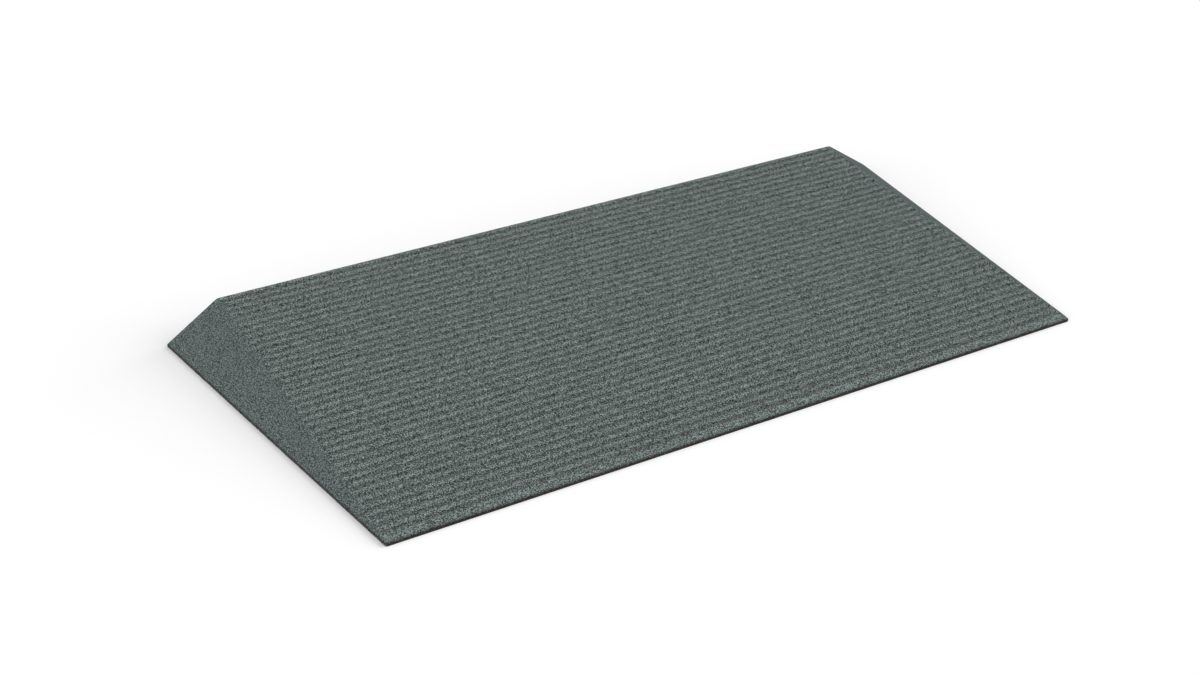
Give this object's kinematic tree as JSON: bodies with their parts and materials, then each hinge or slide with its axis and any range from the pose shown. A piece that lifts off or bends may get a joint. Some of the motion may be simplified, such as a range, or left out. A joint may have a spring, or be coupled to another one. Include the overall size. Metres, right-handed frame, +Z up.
{
  "type": "threshold ramp",
  "caption": "Low rubber threshold ramp: a black wedge core with a ribbed grey-green deck, two flared smooth side bevels, and adhesive tapes with liners in recesses underneath.",
  "frame": {"origin": "on the ground at the middle of the footprint's bounding box", "axes": "+Z up, +Y from the low front edge to the high back face, +X across the ramp to the right as seen by someone going up it"},
  "size_m": [1.0484, 0.495, 0.0485],
  "materials": {
    "black_rubber": "matte bonded crumb rubber, nearly black, fine granules",
    "ribbed_rubber": "matte speckled grey-green crumb rubber, darker in the grooves",
    "smooth_rubber": "matte speckled grey-green crumb rubber, smooth",
    "foam_tape": "white double-sided foam tape",
    "release_liner": "satin yellow release liner"
  },
  "bodies": {
    "root": {"core_block": "black_rubber", "deck_layer": "ribbed_rubber", "left_bevel_layer": "smooth_rubber", "right_bevel_layer": "smooth_rubber", "front_tape": "foam_tape", "back_tape": "foam_tape", "left_tape": "foam_tape", "right_tape": "foam_tape", "centre_tape": "foam_tape", "front_tape_liner": "release_liner", "back_tape_liner": "release_liner", "left_tape_liner": "release_liner", "right_tape_liner": "release_liner", "centre_tape_liner": "release_liner"}
  },
  "joints": []
}
